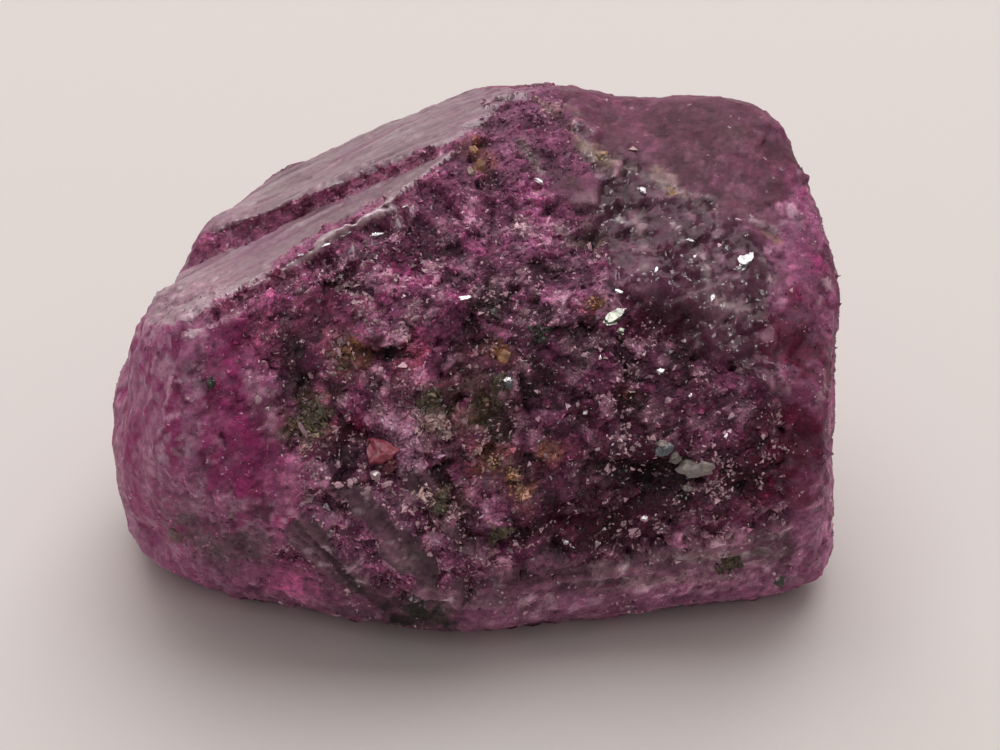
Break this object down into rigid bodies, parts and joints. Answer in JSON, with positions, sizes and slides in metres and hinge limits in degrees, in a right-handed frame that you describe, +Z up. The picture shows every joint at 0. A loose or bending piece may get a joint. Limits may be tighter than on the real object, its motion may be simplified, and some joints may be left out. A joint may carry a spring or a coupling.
{
  "type": "raw ruby crystal",
  "caption": "Raw uncut ruby: a stubby natural corundum crystal with striated growth terraces and a broken granular front, for display or as a scene prop.",
  "frame": {"origin": "middle of the bounding box on the flat underside that the stone rests on", "axes": "+X along the stone towards its red right rim, +Y away from the broken front, +Z up"},
  "size_m": [0.0224, 0.014, 0.0132],
  "materials": {
    "ruby": "dark plum-red corundum, cloudy and nearly opaque: glassy on its crystal faces, granular and glittering on the break",
    "host_minerals": "grains of pale feldspar, mica, green-black amphibole and rusty iron oxide left in the break"
  },
  "bodies": {
    "root": {"ruby_crystal": "ruby"}
  },
  "joints": []
}
